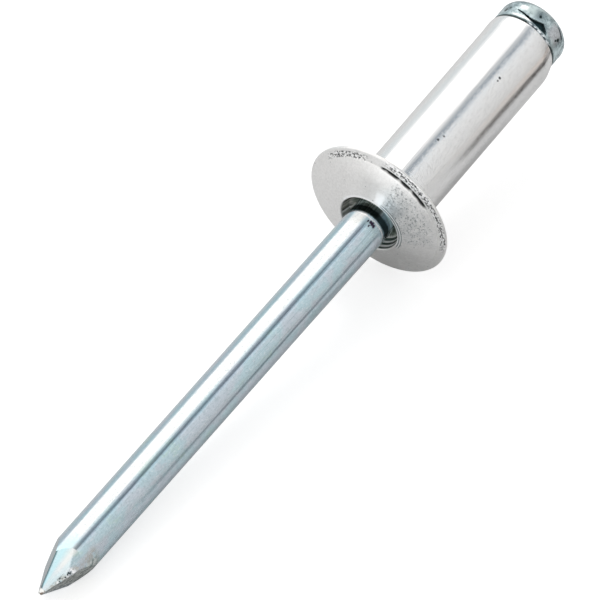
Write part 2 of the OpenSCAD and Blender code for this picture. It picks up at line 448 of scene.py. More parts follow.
def grid_mesh(name, points, marks, closed, askew_from_flange=False):
    """A mesh of rings of points, an array of rings by turns by (near, side, along).

    It keeps each point's place in the rivet's frame, and its mark of painted light: 0 for none,
    1 for black painted shade and -1 for a bright painted highlight.
    """
    rings, turns, _ = points.shape
    flat = points.reshape(-1, 3)
    moved = points.copy()
    set_askew(moved, smooth(*LEAN_RUN, points[..., 2]) if askew_from_flange else 1)
    axes = np.array([NEAR, SIDE, AXIS])
    world = np.array(ORIGIN) + moved.reshape(-1, 3) @ axes * MM
    faces = []
    for ring in range(rings if closed else rings - 1):
        low = ring * turns
        high = (ring + 1) % rings * turns
        for turn in range(turns):
            after = (turn + 1) % turns
            faces.append((low + turn, low + after, high + after, high + turn))
    mesh = bpy.data.meshes.new(name)
    mesh.from_pydata(world.tolist(), [], faces)
    place = mesh.attributes.new("place", "FLOAT_VECTOR", "POINT")
    place.data.foreach_set("vector", flat.astype(np.float32).ravel())
    mark = mesh.attributes.new("mark", "FLOAT", "POINT")
    mark.data.foreach_set("value", marks.astype(np.float32).ravel())
    return mesh


def put(name, data):
    """A new object in the scene."""
    made = bpy.data.objects.new(name, data)
    bpy.context.scene.collection.objects.link(made)
    return made


def finish_piece(name, mesh, node, material):
    """Welds the doubled points, faces the mesh outward and puts it in place of its CAD node."""
    work = bmesh.new()
    work.from_mesh(mesh)
    bmesh.ops.remove_doubles(work, verts=work.verts, dist=WELD * MM)
    bmesh.ops.dissolve_degenerate(work, edges=work.edges, dist=WELD * MM)
    bmesh.ops.recalc_face_normals(work, faces=work.faces)
    work.to_mesh(mesh)
    work.free()
    mesh.polygons.foreach_set("use_smooth", [True] * len(mesh.polygons))
    mesh.set_sharp_from_angle(angle=SHARP)
    mesh.materials.append(material)
    piece = put(name, mesh)
    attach(piece, "root")
    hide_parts(node)


def flange_heights():
    """Places on the flange's outside, from the part's sizes; heights count away from the shank."""
    rim_in = FLANGE_R - RIM_ROUND
    dome_r = FLANGE_R - RIM_W
    slope_r = rim_in + RIM_ROUND * math.sin(RIM_SLOPE)
    slope_h = RIM_ROUND + RIM_ROUND * math.cos(RIM_SLOPE)
    crease_h = slope_h + (slope_r - dome_r) * math.tan(RIM_SLOPE)
    sphere = (dome_r ** 2 + DOME_RISE ** 2) / (2 * DOME_RISE)
    centre_h = crease_h + DIE_STEP + DOME_RISE - sphere
    mouth_h = centre_h + math.sqrt(sphere ** 2 - MOUTH_R ** 2)
    return rim_in, dome_r, slope_r, slope_h, crease_h, sphere, centre_h, mouth_h


def shank_outline():
    """Outside of the shank from its end down to the bearing face."""
    crimp_from = BODY_LEN - CRIMP_LEN
    crimp_arc = (CRIMP_LEN ** 2 + CRIMP_DROP ** 2) / (2 * CRIMP_DROP)
    arc_in = BODY_R - crimp_arc
    end_from = BODY_LEN - END_ROUND
    end_in = arc_in + math.sqrt((crimp_arc - END_ROUND) ** 2 - (end_from - crimp_from) ** 2)
    meet = math.atan2(end_from - crimp_from, end_in - arc_in)
    fillet = (BODY_R + SHANK_FILLET, SHANK_FILLET)
    points = straight((WIRE_R, BODY_LEN), (end_in, BODY_LEN), END_STEPS)
    points += arc((end_in, end_from), END_ROUND, math.pi / 2, meet, END_ROUND_STEPS)
    points += arc((arc_in, crimp_from), crimp_arc, meet, 0, CRIMP_STEPS)[1:-1]
    points += straight((BODY_R, crimp_from), (BODY_R, SHANK_FILLET), SHANK_STEPS)
    points += arc(fillet, SHANK_FILLET, math.pi, 1.5 * math.pi, FILLET_STEPS)
    return points


def flange_outline():
    """Outside of the flange from the bearing face over its rim and dome to the mouth."""
    rim_in, dome_r, slope_r, slope_h, crease_h, sphere, centre_h, mouth_h = flange_heights()
    points = straight((BODY_R + 2 * SHANK_FILLET, 0), (rim_in, 0), FACE_STEPS)
    rim_end = RIM_SLOPE - math.pi / 2
    points += arc((rim_in, -RIM_ROUND), RIM_ROUND, math.pi / 2, rim_end, RIM_STEPS)[:-1]
    near_crease = (
        dome_r + GROOVE_W * math.cos(RIM_SLOPE),
        GROOVE_W * math.sin(RIM_SLOPE) - crease_h,
    )
    points += straight((slope_r, -slope_h), near_crease, SLOPE_STEPS)
    points += straight(near_crease, (dome_r, -crease_h), GROOVE_STEPS)
    points += [(dome_r, -crease_h)]
    edge = -math.acos(dome_r / sphere)
    past_groove = -math.acos((dome_r - GROOVE_W) / sphere)
    inner = -math.acos((MOUTH_R + MOUTH_ROUND) / sphere)
    dome = arc((0, -centre_h), sphere, edge, past_groove, PAST_GROOVE_STEPS)[:-1]
    dome += arc((0, -centre_h), sphere, past_groove, inner, DOME_STEPS)
    lip_centre = (MOUTH_R + MOUTH_ROUND, MOUTH_ROUND - mouth_h)
    lip = arc(lip_centre, MOUTH_ROUND, 1.5 * math.pi, math.pi, LIP_STEPS)
    under_dome = [p for p in lip if math.hypot(p[0], p[1] + centre_h) < sphere]
    return points + [p for p in dome if p[0] > under_dome[0][0]] + under_dome


def hole_outline():
    """Inside of the hole from the mouth through the throat and the bore to the shank's end."""
    mouth_h = flange_heights()[-1]
    floor_h = mouth_h - MOUTH_DEPTH
    bore_r = WIRE_R + BORE_GAP
    mouth = (MOUTH_R, MOUTH_ROUND - mouth_h)
    mouth_end = (MOUTH_R - MOUTH_TAPER, -floor_h)
    throat_end = (bore_r, THROAT_LEN - floor_h)
    bore_end = (bore_r, BODY_LEN - CRIMP_LEN)
    points = straight(mouth, mouth_end, MOUTH_STEPS)[1:]
    points += straight(mouth_end, throat_end, THROAT_STEPS)
    points += straight(throat_end, bore_end, BORE_STEPS)
    return points + [bore_end]


def die_groove(radius, along, turn):
    """The thin groove at the dome's edge, which the off-centre die left on one side: 0 to 1."""
    dome_r = FLANGE_R - RIM_W
    across = np.exp(-((radius - dome_r - GROOVE_OUT) / (GROOVE_SPREAD * GROOVE_W)) ** 2)
    side = window(np.degrees(turn), *GROOVE_TURNS)
    return across * side * (along < -RIM_ROUND)


def rim_nicks(radius, along, turn):
    """Small dents along the rim, in millimetres towards the shank."""
    middle = FLANGE_R - NICK_PLACE * RIM_W
    across = np.exp(-((radius - middle) / (NICK_SPREAD * RIM_W)) ** 2) * (along < -RIM_ROUND)
    degrees = np.degrees(turn)
    worn = sum(window(degrees, *turns) for turns in NICK_TURNS)
    waves = [noise.noise((angle * NICK_RATE, 0, NICK_SEED)) for angle in degrees]
    return NICK_DEPTH * across * worn * np.clip(waves, 0, 1)


def rivet_body(material):
    """The aluminium body, turned about its axis from one closed section."""
    outline = np.array(shank_outline() + flange_outline() + hole_outline())
    turn = np.linspace(-math.pi, math.pi, BODY_STEPS, endpoint=False)
    radius = np.repeat(outline[:, :1], BODY_STEPS, axis=1)
    along = np.repeat(outline[:, 1:], BODY_STEPS, axis=1)
    groove = die_groove(radius, along, turn)
    along = along + groove * GROOVE_DEPTH + rim_nicks(radius, along, turn)
    points = np.stack([radius * np.cos(turn), radius * np.sin(turn), along], axis=2)
    # Painted shade along the groove, uneven round the turn
    waves = np.array([noise.noise((angle * GROOVE_SHADE_RATE, 0, 0)) for angle in np.degrees(turn)])
    groove_shade = np.clip(GROOVE_SHADE_AMOUNT * groove * (GROOVE_SHADE_EVEN + waves), 0, 1)
    mesh = grid_mesh("rivet_body_look", points, groove_shade, closed=True)
    finish_piece("rivet_body_look", mesh, "rivet_body", material)


def quarter_turns(cross, flat, reach):
    """Turns and radii round a quarter of the wire where two flats cut it at these distances."""
    corner = math.atan2(min(flat, reach), min(cross, reach))
    if math.hypot(cross, flat) < reach:
        from_cross = corner
        to_flat = corner
    else:
        from_cross = math.acos(min(cross / reach, 1))
        to_flat = math.asin(min(flat / reach, 1))
    spread = 1 - (1 - np.arange(FLAT_STEPS) / FLAT_STEPS) ** FLAT_CROWD
    on_cross = from_cross * spread
    on_arc = np.linspace(from_cross, to_flat, ARC_STEPS, endpoint=False)
    on_flat = math.pi / 2 - (math.pi / 2 - to_flat) * spread[::-1]
    turns = np.concatenate([on_cross, on_arc, [to_flat], on_flat[:-1]])
    limit_cross = cross / np.maximum(np.cos(turns), TINY)
    limit_flat = flat / np.maximum(np.sin(turns), TINY)
    return turns, np.minimum(reach, np.minimum(limit_cross, limit_flat))


def wire_ring(radius, along):
    """One ring of the mandrel, cut by the two pairs of flats, as (near, side, along) points."""
    from_tip = along + MANDREL_OUT
    cross = POINT_HALF + from_tip * math.tan(CROSS_ANGLE)
    flat = POINT_HALF + from_tip * math.tan(FLAT_ANGLE)
    turns, reach = quarter_turns(cross, flat, radius)
    mirrored = math.pi - turns[::-1]
    half_turns = np.concatenate([turns, [math.pi / 2], mirrored[:-1]])
    half_reach = np.concatenate([reach, [min(flat, radius)], reach[::-1][:-1]])
    all_turns = np.concatenate([half_turns, half_turns + math.pi]) + FLATS_FROM
    all_reach = np.concatenate([half_reach, half_reach])
    near = all_reach * np.cos(all_turns)
    side = all_reach * np.sin(all_turns)
    return np.stack([near, side, np.full(len(all_turns), along)], axis=1)


def mandrel_outline():
    """The mandrel's outside from its point over the break notch to the middle of the head."""
    notch = BODY_LEN - NOTCH_IN
    notch_bottom = (WIRE_R - NOTCH_DEPTH, notch)
    point_len = (WIRE_R - POINT_HALF) / math.tan(FLAT_ANGLE)
    full_wire = (WIRE_R, point_len - MANDREL_OUT)
    edge_centre = (HEAD_R - HEAD_EDGE, BODY_LEN + HEAD_EDGE)
    crown_from = BODY_LEN + HEAD_SIDE
    crown_in = HEAD_R - HEAD_ROUND
    crown_rise = HEAD_H - HEAD_SIDE - HEAD_ROUND
    crown_centre = crown_from + (crown_rise - crown_in ** 2 / crown_rise) / 2
    crown_r = BODY_LEN + HEAD_H - crown_centre
    meet = math.atan2(crown_from - crown_centre, crown_in)
    points = straight((WIRE_R, -MANDREL_OUT), full_wire, POINT_STEPS)
    points += straight(full_wire, (WIRE_R, notch - NOTCH_HALF_W), WIRE_STEPS)
    points += straight((WIRE_R, notch - NOTCH_HALF_W), notch_bottom, NOTCH_STEPS)
    points += straight(notch_bottom, (WIRE_R, notch + NOTCH_HALF_W), NOTCH_STEPS)
    points += straight((WIRE_R, notch + NOTCH_HALF_W), (WIRE_R, BODY_LEN), GRIP_STEPS)
    points += straight((WIRE_R, BODY_LEN), (HEAD_R - HEAD_EDGE, BODY_LEN), UNDER_HEAD_STEPS)
    points += arc(edge_centre, HEAD_EDGE, -math.pi / 2, 0, EDGE_STEPS)[:-1]
    points += straight((HEAD_R, BODY_LEN + HEAD_EDGE), (HEAD_R, crown_from), SIDE_STEPS)
    points += arc((crown_in, crown_from), HEAD_ROUND, 0, meet, ROUND_STEPS)[:-1]
    points += arc((0, crown_centre), crown_r, meet, math.pi / 2, CROWN_STEPS)
    return points


def head_lap(points):
    """The lap in the head's side, a thin fold opening to a wedge, in painted shade: 0 to 1."""
    turn = np.degrees(np.arctan2(points[..., 1], points[..., 0]))
    along = points[..., 2]
    middle = np.interp(turn, LAP_TURNS, LAP_ALONG)
    half = np.interp(turn, LAP_TURNS, LAP_HALF)
    inside = smooth(half + LAP_EDGE, half - LAP_EDGE, np.abs(along - middle))
    return inside * window(turn, LAP_TURNS[0], LAP_TURNS[-1], 1) * (half > 0)


def face_marks(side, along, from_left):
    """Painted highlight above the facing flat's bend, painted shade below and on its left edge."""
    bend = side + BEND_SLOPE * (along - BEND_FROM)
    line = window(bend, *BEND_LINE_WINDOW) * (along > BEND_LINE_TO)
    face_shade = FACE_SHADE * smooth(*FACE_SHADE_RUN, bend) + BEND_SHADE_LINE * line
    gain = FACE_LEVEL + FACE_GAIN * smooth(*FACE_GAIN_RUN, along)
    face = np.where(bend < 0, -FACE_HIGHLIGHT * gain * smooth(*FACE_HIGHLIGHT_RUN, bend), face_shade)
    dark_edge = smooth(EDGE_LINE, 0.5 * EDGE_LINE, from_left)
    return face * (1 - dark_edge) + EDGE_SHADE * dark_edge


def point_marks(points):
    """Painted shade on the point's side flats, and the facing flat's painted light between them."""
    near, side, along = points[..., 0], points[..., 1], points[..., 2]
    facing = FLATS_FROM + math.pi
    out = near * math.cos(facing) + side * math.sin(facing)
    across = side * math.cos(facing) - near * math.sin(facing)
    from_tip = along + MANDREL_OUT
    on_point = from_tip < POINT_LEN
    out_edge = POINT_HALF + from_tip * math.tan(CROSS_ANGLE)
    side_edge = POINT_HALF + from_tip * math.tan(FLAT_ANGLE)
    on_left = (across < -side_edge + FLAT_SKIN) * on_point
    on_right = (across > side_edge - FLAT_SKIN) * on_point
    on_face = (out > out_edge - FLAT_SKIN) * on_point * (out > 0)
    marks = on_left * LEFT_FLAT_SHADE + RIGHT_FLAT_SHADE * on_right * (1 - on_left)
    return np.where(on_face, face_marks(side, along, across + side_edge), marks)


def mandrel(material):
    """The steel mandrel with its upset head, break notch and four-flat point."""
    rings = [wire_ring(max(radius, TINY), along) for radius, along in mandrel_outline()]
    tip = rings[0] * (TINY, TINY, 1)
    points = np.stack([tip] + rings)
    lap = head_lap(points)
    points[..., :2] *= (1 - LAP_DEPTH / HEAD_R * lap)[..., None]
    # The lap's fold is painted dark as shade; the point's flats take their painted light and shade
    marks = np.where(lap > 0, lap, point_marks(points))
    mesh = grid_mesh("mandrel_look", points, marks, closed=False, askew_from_flange=True)
    finish_piece("mandrel_look", mesh, "mandrel", material)


class Graph:
    """Shader nodes of one tree; each method adds a node and returns its output socket."""

    def __init__(self, tree):
        self.tree = tree

    def node(self, kind, **settings):
        made = self.tree.nodes.new(kind)
        for name, value in settings.items():
            setattr(made, name, value)
        return made

    def feed(self, socket, value):
        if isinstance(value, bpy.types.NodeSocket):
            self.tree.links.new(value, socket)
        else:
            socket.default_value = value

    def math(self, operation, first, second=0.0):
        made = self.node("ShaderNodeMath", operation=operation)
        self.feed(made.inputs[0], first)
        self.feed(made.inputs[1], second)
        return made.outputs[0]

    def product(self, *factors):
        """All factors multiplied."""
        result = factors[0]
        for factor in factors[1:]:
            result = self.math("MULTIPLY", result, factor)
        return result

    def step(self, value, low, high):
        """A soft step from 0 at low to 1 at high, which may be the lower of the two."""
        made = self.node("ShaderNodeMapRange", interpolation_type="SMOOTHSTEP")
        self.feed(made.inputs["Value"], value)
        made.inputs["From Min"].default_value = min(low, high)
        made.inputs["From Max"].default_value = max(low, high)
        made.inputs["To Min"].default_value = 0 if low < high else 1
        made.inputs["To Max"].default_value = 1 if low < high else 0
        return made.outputs["Result"]

    def window(self, value, low, high, edge):
        """1 between low and high, with soft edges."""
        rise = self.step(value, low - edge, low + edge)
        fall = self.step(value, high + edge, high - edge)
        return self.product(rise, fall)

    def mix(self, share, first, second):
        """Blend of two colours."""
        made = self.node("ShaderNodeMix", data_type="RGBA")
        self.feed(made.inputs[0], share)
        self.feed(made.inputs[6], first if not isinstance(first, tuple) else (*first, 1))
        self.feed(made.inputs[7], second if not isinstance(second, tuple) else (*second, 1))
        return made.outputs[2]

    def joined(self, x, y, z):
        """A vector of three values."""
        made = self.node("ShaderNodeCombineXYZ")
        for socket, value in zip(made.inputs, (x, y, z)):
            self.feed(socket, value)
        return made.outputs[0]

    def fitted(self, value, low, high):
        """The value from 0 to 1 carried over to low to high."""
        made = self.node("ShaderNodeMapRange")
        self.feed(made.inputs["Value"], value)
        made.inputs["To Min"].default_value = low
        made.inputs["To Max"].default_value = high
        return made.outputs["Result"]

    def blend(self, share, first, second):
        """Blend of two numbers."""
        made = self.node("ShaderNodeMix", data_type="FLOAT")
        self.feed(made.inputs[0], share)
        self.feed(made.inputs[2], first)
        self.feed(made.inputs[3], second)
        return made.outputs[0]

    def noise(self, vector, scale, detail=3.0, roughness=0.5):
        made = self.node("ShaderNodeTexNoise")
        self.feed(made.inputs["Vector"], vector)
        made.inputs["Scale"].default_value = scale
        made.inputs["Detail"].default_value = detail
        made.inputs["Roughness"].default_value = roughness
        return made.outputs["Fac"]

    def rings(self, value, rate, low, high, dark):
        """White rings on a dark ground, this many radians apart over each millimetre."""
        waves = self.math("SINE", self.product(value, rate))
        return self.mix(self.step(waves, low, high), dark, WHITE)

    def bump(self, height, depth):
        """A bump whose height of 1 stands this many millimetres proud."""
        made = self.node("ShaderNodeBump")
        made.inputs["Strength"].default_value = 1
        made.inputs["Distance"].default_value = depth * MM
        self.feed(made.inputs["Height"], height)
        return made.outputs["Normal"]


class Metal(Graph):
    """A metal material with the rivet's coordinates at each place of its surface.

    Place, radius and along are in millimetres, turn in degrees.
    """

    def __init__(self, name):
        self.material = bpy.data.materials.new(name)
        self.material.use_nodes = True
        super().__init__(self.material.node_tree)
        self.inputs = self.tree.nodes["Principled BSDF"].inputs
        self.inputs["Metallic"].default_value = 1
        self.place = self.node("ShaderNodeAttribute", attribute_name="place").outputs["Vector"]
        split = self.node("ShaderNodeSeparateXYZ")
        self.feed(split.inputs[0], self.place)
        near, side, self.along = split.outputs
        squares = self.math("ADD", self.product(near, near), self.product(side, side))
        self.radius = self.math("SQRT", squares)
        self.turn = self.math("DEGREES", self.math("ARCTAN2", side, near))

    def clouds(self, scale, detail, roughness=0.5, stretch=(1, 1, 1)):
        """Noise over the metal, its scale in features a millimetre."""
        stretched = self.node("ShaderNodeVectorMath", operation="MULTIPLY")
        self.feed(stretched.inputs[0], self.place)
        stretched.inputs[1].default_value = stretch
        return self.noise(stretched.outputs[0], scale, detail, roughness)

    def coated(self, tone, value, coat):
        """The tone with a coat where the value is past the coat's run."""
        share = self.product(self.step(value, *coat.run), coat.share)
        return self.mix(share, tone, coat.colour)

    def patch_share(self, patch, turn=None, across=None):
        """Where a patch is, on the metal's own turn and place along unless others are given."""
        round_it = self.window(self.turn if turn is None else turn, *patch.turns)
        if patch.span is None:
            return round_it
        over_it = self.window(self.along if across is None else across, *patch.span)
        return self.product(round_it, over_it)

    def painted(self, tone, patch, *others, turn=None, across=None, colour=None):
        """The tone with a patch in its own colour or in this one; the others thin it further."""
        share = self.product(self.patch_share(patch, turn, across), patch.share, *others)
        return self.mix(share, tone, patch.colour if colour is None else colour)

    def spotted(self, tone, spots, colour):
        """The tone with single spots of uneven outline, each as turn, place along, and radius."""
        for at_turn, at_along, size in spots:
            off_turn = self.math("SUBTRACT", self.turn, at_turn)
            arc_length = self.product(off_turn, math.radians(BODY_R))
            off = self.math("SUBTRACT", self.along, at_along)
            squares = [self.math("POWER", length, 2.0) for length in (arc_length, off)]
            uneven = self.product(self.clouds(6.0, 3.0), size)
            away = self.math("ADD", self.math("SQRT", self.math("ADD", *squares)), uneven)
            tone = self.mix(self.step(away, *(size * edge for edge in SPOT_EDGE)), tone, colour)
        return tone

    def specks(self, scale, size, share):
        """Round specks: cells a millimetre, a speck's radius in cells, and how many have one."""
        cells = self.node("ShaderNodeTexVoronoi")
        self.feed(cells.inputs["Vector"], self.place)
        cells.inputs["Scale"].default_value = scale
        chosen = self.node("ShaderNodeSeparateColor")
        self.feed(chosen.inputs[0], cells.outputs["Color"])
        dots = self.step(cells.outputs["Distance"], *(size * edge for edge in SPECK_EDGE))
        return self.product(dots, self.math("LESS_THAN", chosen.outputs[0], share))

    def marked(self, tone, dark, light):
        """The tone with the mesh's marks: dark painted shade and bright painted highlights."""
        mark = self.node("ShaderNodeAttribute", attribute_name="mark").outputs["Fac"]
        tone = self.mix(self.math("MAXIMUM", mark, 0.0), tone, dark)
        bright = self.math("MAXIMUM", self.product(mark, -1.0), 0.0)
        return self.mix(bright, tone, light)


def joint_shade_tone(metal):
    """Painted shade between head and shank: black at both ends, pale crumbs of metal between."""
    crumbled = metal.step(metal.clouds(4.5, 3.0, 0.6), 0.44, 0.54)
    crumbs = metal.mix(crumbled, JOINT_CRUMB_DARK, JOINT_CRUMB_LIGHT)
    return metal.mix(metal.window(metal.turn, *JOINT_CRUMB_TURNS), JOINT_SHADE, crumbs)


def recess_tone(metal, tone):
    """Painted light and shade in the mouth: wall streaked along the axis, rings low right, black
    below.
    """
    fine_turn = metal.joined(metal.product(metal.turn, 0.13), 0.0, 0.0)
    streaks = metal.noise(fine_turn, 1.0, detail=3.0, roughness=0.7)
    # Streaks along the axis painted light and dark as reflections
    wall = metal.mix(metal.step(streaks, 0.38, 0.62), WALL_SHADED_STREAKS, WALL_LIT_STREAKS)
    # Painted shade on the wall behind, painted light beside it, and a painted white highlight
    wall = metal.painted(wall, WALL_BEHIND_SHADE)
    wall = metal.painted(wall, WALL_BESIDE_LIGHT)
    wall = metal.painted(wall, WALL_WHITE_HIGHLIGHT, metal.step(metal.radius, 1.48, 1.53))
    # Rings painted as reflections low on the right
    rings = metal.rings(metal.along, WALL_RING_RATE, -0.3, 0.4, WALL_RING_DARK)
    wall = metal.painted(wall, WALL_RING_REFLECTIONS, colour=rings)
    # The mouth's floor in painted shade, with painted pale light on its left
    bottom = metal.mix(metal.step(streaks, 0.42, 0.58), HOLE_FLOOR_DARK_SHADE, HOLE_FLOOR_LIGHT_SHADE)
    bottom = metal.painted(bottom, HOLE_FLOOR_PALE_LIGHT, across=metal.radius)
    deep = metal.mix(metal.step(metal.radius, 1.35, 1.50), bottom, wall)
    return metal.mix(metal.step(metal.radius, MOUTH_R - 0.01, MOUTH_R + 0.02), deep, tone)


def shank_tone(metal, lines):
    """Bright shank with drawn lines and specks, painted reflections of a slit and of leaning
    streaks.
    """
    patches = metal.clouds(0.7, 2.0)
    tone = metal.mix(patches, SHANK_COOL, SHANK_WARM)
    tone = metal.coated(tone, lines, SHANK_LINE)
    # Painted reflection of a dark slit, and painted shade on the far right
    tone = metal.painted(tone, SHANK_SLIT_REFLECTION)
    tone = metal.coated(tone, metal.turn, SHANK_RIGHT_SHADE)
    tone = metal.spotted(tone, SHANK_SPECKS, SPECK_TONE)
    # Painted reflections of a dark strip and, beside it, of a warm one, leaning along the shank
    from_end = metal.math("SUBTRACT", BODY_LEN, metal.along)
    leaning = metal.math("ADD", metal.turn, metal.product(from_end, REFLECTION_LEAN))
    broken = metal.product(metal.step(metal.along, 1.0, 12.0), metal.step(lines, 0.2, 0.5))
    tone = metal.painted(tone, SHANK_DARK_REFLECTION, broken, turn=leaning)
    fading = metal.step(metal.along, 3.0, 12.0)
    tone = metal.painted(tone, SHANK_WARM_REFLECTION, fading, turn=leaning)
    # The shank's end takes the painted shade of the gap
    lip = metal.step(metal.along, BODY_LEN - 0.10, BODY_LEN - 0.02)
    return metal.mix(lip, tone, joint_shade_tone(metal))


def dome_tone(metal, grain):
    """Matt dome with painted shades, a darker patch of pits and painted glints; also returns the
    pits.
    """
    on_radius = {"across": metal.radius}
    coarse = metal.clouds(2.2, 4.0, 0.6)
    tone = metal.mix(metal.step(grain, 0.3, 0.7), DOME_DARK, DOME_LIGHT)
    # Painted shade low on the right and over the upper part
    for patch in (DOME_LOW_RIGHT_SHADE, DOME_UPPER_SHADE):
        tone = metal.painted(tone, patch)
    tone = metal.coated(tone, coarse, DOME_CLOUD)
    # A darker patch on the right, and painted shade beside the mouth
    tone = metal.painted(tone, DOME_DARKER_PATCH, metal.step(coarse, 0.70, 0.35), **on_radius)
    tone = metal.painted(tone, DOME_SHADE, **on_radius)
    darker_patch = metal.patch_share(DOME_DARKER_PATCH, **on_radius)
    flecks = metal.clouds(7.5, 3.0, 0.8)
    pits = metal.product(metal.step(flecks, 0.54, 0.60), darker_patch, PIT_SHARE)
    # Painted glints in the darker patch
    glints = metal.product(metal.step(flecks, 0.42, 0.36), darker_patch, GLINT_SHARE)
    tone = metal.mix(glints, tone, GLINT_TONE)
    stray = metal.product(metal.specks(scale=3.5, size=0.16, share=0.12), STRAY_SHARE)
    tone = metal.mix(metal.math("MAXIMUM", pits, stray), tone, PIT_TONE)
    # Painted white highlight beside the mouth
    tone = metal.painted(tone, DOME_WHITE_HIGHLIGHT, **on_radius)
    # Painted white highlight on the lip's left, and rings painted as reflections on its right
    tone = metal.painted(tone, LIP_WHITE_HIGHLIGHT, **on_radius)
    rings = metal.rings(metal.radius, LIP_RING_RATE, -0.4, 0.4, LIP_RING_DARK)
    return metal.painted(tone, LIP_RING_REFLECTIONS, colour=rings, **on_radius), pits


def rim_chips(metal):
    """Dark and light chips in the rows along the rim, stretched a little round it."""
    arcs = metal.joined(metal.product(metal.turn, 0.07), metal.product(metal.radius, 2.0), 0.0)
    chips = metal.noise(arcs, 6.0, detail=3.0, roughness=0.7)
    rows = [
        metal.product(metal.window(metal.turn, *turns), metal.window(metal.radius, *radii))
        for turns, radii in zip(NICK_TURNS, NICK_RADII)
    ]
    worn = metal.math("MINIMUM", metal.math("ADD", *rows), 1.0)
    dark = metal.product(metal.step(chips, 0.505, 0.54), worn)
    light = metal.product(metal.step(chips, 0.47, 0.42), worn)
    return dark, light


def aluminium():
    """Satin aluminium, with lines drawn along the shank and a matt, pitted dome."""
    metal = Metal("aluminium_body")
    on_flange = metal.step(metal.along, 0.0, -0.05)
    lines = metal.clouds(1.0, 4.0, stretch=(9, 9, 0.35))
    grain = metal.clouds(9.0, 5.0, 0.65)
    dome, pits = dome_tone(metal, grain)
    dark_chips, light_chips = rim_chips(metal)
    dome = metal.mix(light_chips, dome, WHITE)
    dome = metal.mix(metal.product(dark_chips, CHIP_SHARE), dome, CHIP_TONE)
    dome = recess_tone(metal, dome)
    tone = metal.mix(on_flange, shank_tone(metal, lines), dome)
    metal.feed(metal.inputs["Base Color"], metal.marked(tone, BODY_GROOVE_SHADE, WHITE))

    # White chips on the rim and painted white highlights by the lip lose the metal's mirror
    grey = metal.node("ShaderNodeRGBToBW")
    metal.feed(grey.inputs[0], dome)
    at_edges = metal.math("SUBTRACT", on_flange, metal.window(metal.radius, *BURR_AND_HIGHLIGHT_FREE))
    burrs_and_highlights = metal.product(metal.step(grey.outputs[0], 0.96, 1.0), at_edges, BURR_AND_HIGHLIGHT_SHARE)
    metal.feed(metal.inputs["Metallic"], metal.math("SUBTRACT", 1.0, burrs_and_highlights))

    shank_rough = metal.fitted(lines, 0.16, 0.31)
    dome_rough = metal.fitted(grain, 0.30, 0.48)
    metal.feed(metal.inputs["Roughness"], metal.blend(on_flange, shank_rough, dome_rough))
    relief = metal.blend(on_flange, lines, grain)
    dents = metal.product(metal.math("ADD", pits, dark_chips), 2.0)
    metal.feed(metal.inputs["Normal"], metal.bump(metal.math("SUBTRACT", relief, dents), 0.006))
    return metal.material


def hole_reflections(metal, tint):
    """The wire leaving the hole: a bright ring and a dark stripe as painted reflections, dark spots
    below.
    """
    uneven = metal.clouds(4.0, 3.0, 0.6)
    shift = metal.product(metal.math("SUBTRACT", uneven, 0.5), HOLE_UNEVEN)
    shifted = metal.math("ADD", metal.along, shift)
    tint = metal.spotted(tint, HOLE_SPOTS, HOLE_SPOT_TONE)
    # Painted reflections: the lip as a bright ring, the dark recess as a dark stripe, lighter
    # inside
    tint = metal.mix(metal.window(shifted, *HOLE_RING_REFLECTION), tint, WHITE)
    dark_reflection = metal.product(metal.window(shifted, *HOLE_DARK_REFLECTION), HOLE_DARK_REFLECTION_SHARE)
    tint = metal.mix(dark_reflection, tint, HOLE_DARK_REFLECTION_TONE)
    return metal.coated(tint, shifted, HOLE_INSIDE_REFLECTION)


def point_tint(metal, tint):
    """Painted shade and highlight tints on the point's flats, chips on the facing one's edge, worn
    end.
    """
    chips = metal.clouds(4.4, 2.0, 0.6)
    clouds = metal.clouds(3.0, 4.0, 0.7)
    # Painted shade on the right flats, and painted highlight tints on the facing flat
    tint = metal.painted(tint, POINT_RIGHT_SHADE, metal.step(clouds, 0.35, 0.6))
    tint = metal.painted(tint, POINT_CYAN_HIGHLIGHT)
    tint = metal.painted(tint, POINT_CREAM_HIGHLIGHT)
    # Mottle in painted shade on the lower flat
    mottle = metal.mix(metal.step(chips, 0.42, 0.58), LOWER_DARK, LOWER_LIGHT)
    tint = metal.painted(tint, POINT_LOWER_SHADE, colour=mottle)
    tint = metal.painted(tint, EDGE_CHIPS, metal.step(chips, 0.54, 0.59), colour=WHITE)
    tint = metal.painted(tint, EDGE_CHIPS, metal.step(chips, 0.44, 0.39))
    worn = metal.mix(metal.step(chips, 0.45, 0.55), TIP_BROWN, TIP_CREAM)
    return metal.mix(metal.step(metal.along, *TIP), tint, worn)


def wire_tint(metal):
    """Bluish zinc with a faint play of colour, a fine grain and scores drawn along the wire."""
    hue = metal.clouds(1.3, 3.0, stretch=(1.0, 1.0, 0.5))
    mottle = metal.clouds(3.0, 4.0, 0.6)
    tint = metal.mix(metal.step(hue, 0.42, 0.60), ZINC_BLUE, ZINC_VIOLET)
    tint = metal.coated(tint, hue, ZINC_GREEN)
    tint = metal.coated(tint, mottle, ZINC_MOTTLE)
    # A neutral tint where the highlight falls
    tint = metal.painted(tint, WIRE_HIGHLIGHT, metal.step(metal.along, -27.2, -26.6))
    fine = metal.clouds(9.0, 3.0, 0.7, stretch=(1.0, 1.0, 0.6))
    tint = metal.coated(tint, fine, GRAIN_DARK)
    tint = metal.coated(tint, fine, GRAIN_LIGHT)
    # Painted shade along the wire's left edge
    tint = metal.painted(tint, WIRE_LEFT_SHADE)
    drawn_out = metal.joined(metal.product(metal.turn, 0.3), 0.0, metal.product(metal.along, 0.15))
    scored = metal.step(metal.noise(drawn_out, 1.0), 0.60, 0.68)
    return hole_reflections(metal, metal.painted(tint, WIRE_SCORES, scored))


